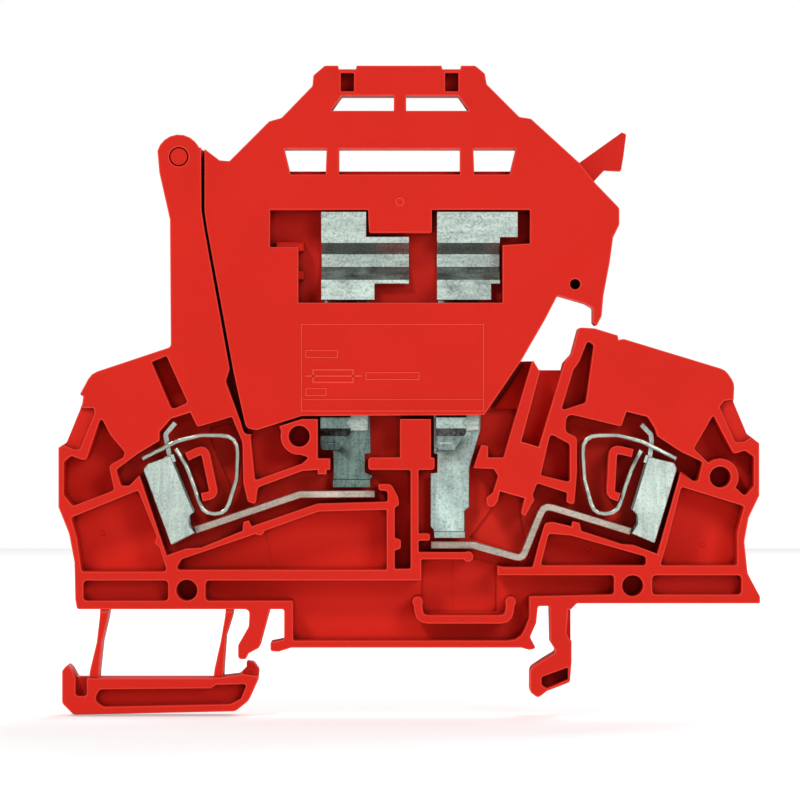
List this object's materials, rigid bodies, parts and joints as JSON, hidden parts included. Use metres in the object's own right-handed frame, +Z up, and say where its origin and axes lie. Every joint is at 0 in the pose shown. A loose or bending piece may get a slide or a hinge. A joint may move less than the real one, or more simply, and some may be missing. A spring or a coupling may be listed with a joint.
{
  "type": "rail-mounted fuse terminal block",
  "caption": "Slim rail-mounted terminal block with a pivoting fuse lever, two fuse clips, fork contacts and two tension clamps.",
  "frame": {"origin": "middle of the flat face that rests on the rail, halfway through the block's width", "axes": "+X along the block towards the fixed rail hook, +Y towards the closed back wall, +Z up from the rail"},
  "size_m": [0.0793, 0.0078, 0.0734],
  "materials": {
    "red_polyamide": "satin moulded",
    "tinned_copper": "satin tin plating",
    "spring_steel": "satin"
  },
  "bodies": {
    "housing": {"base_housing": "red_polyamide", "foot_strut_outer": "red_polyamide", "foot_strut_inner": "red_polyamide", "left_fork": "tinned_copper", "right_fork": "tinned_copper", "left_current_bar": "tinned_copper", "right_current_bar": "tinned_copper", "left_clamp_spring": "spring_steel", "right_clamp_spring": "spring_steel"},
    "lever": {"fuse_lever": "red_polyamide", "left_fuse_clip": "tinned_copper", "right_fuse_clip": "tinned_copper"},
    "foot": {"rail_foot": "red_polyamide"},
    "left_cage": {"left_clamp_cage": "tinned_copper"},
    "right_cage": {"right_clamp_cage": "tinned_copper"}
  },
  "joints": [
    {"name": "lever_hinge", "type": "hinge", "parent": "housing", "child": "lever", "pos_m": [-0.025, 0, 0.0555], "axis": [0, -1, 0], "range_deg": [0, 90]},
    {"name": "foot_slide", "type": "slide", "parent": "housing", "child": "foot", "axis": [-1, 0, 0], "range_m": [0, 0.0016], "stiffness_N_per_m": 6000, "deforming": ["foot_strut_outer", "foot_strut_inner"]},
    {"name": "left_cage_slide", "type": "slide", "parent": "housing", "child": "left_cage", "axis": [0.3579, 0, -0.9338], "range_m": [0, 0.0008], "stiffness_N_per_m": 3000, "deforming": ["left_clamp_spring"]},
    {"name": "right_cage_slide", "type": "slide", "parent": "housing", "child": "right_cage", "axis": [-0.3, 0, -0.9539], "range_m": [0, 0.0008], "stiffness_N_per_m": 3000, "deforming": ["right_clamp_spring"]}
  ]
}
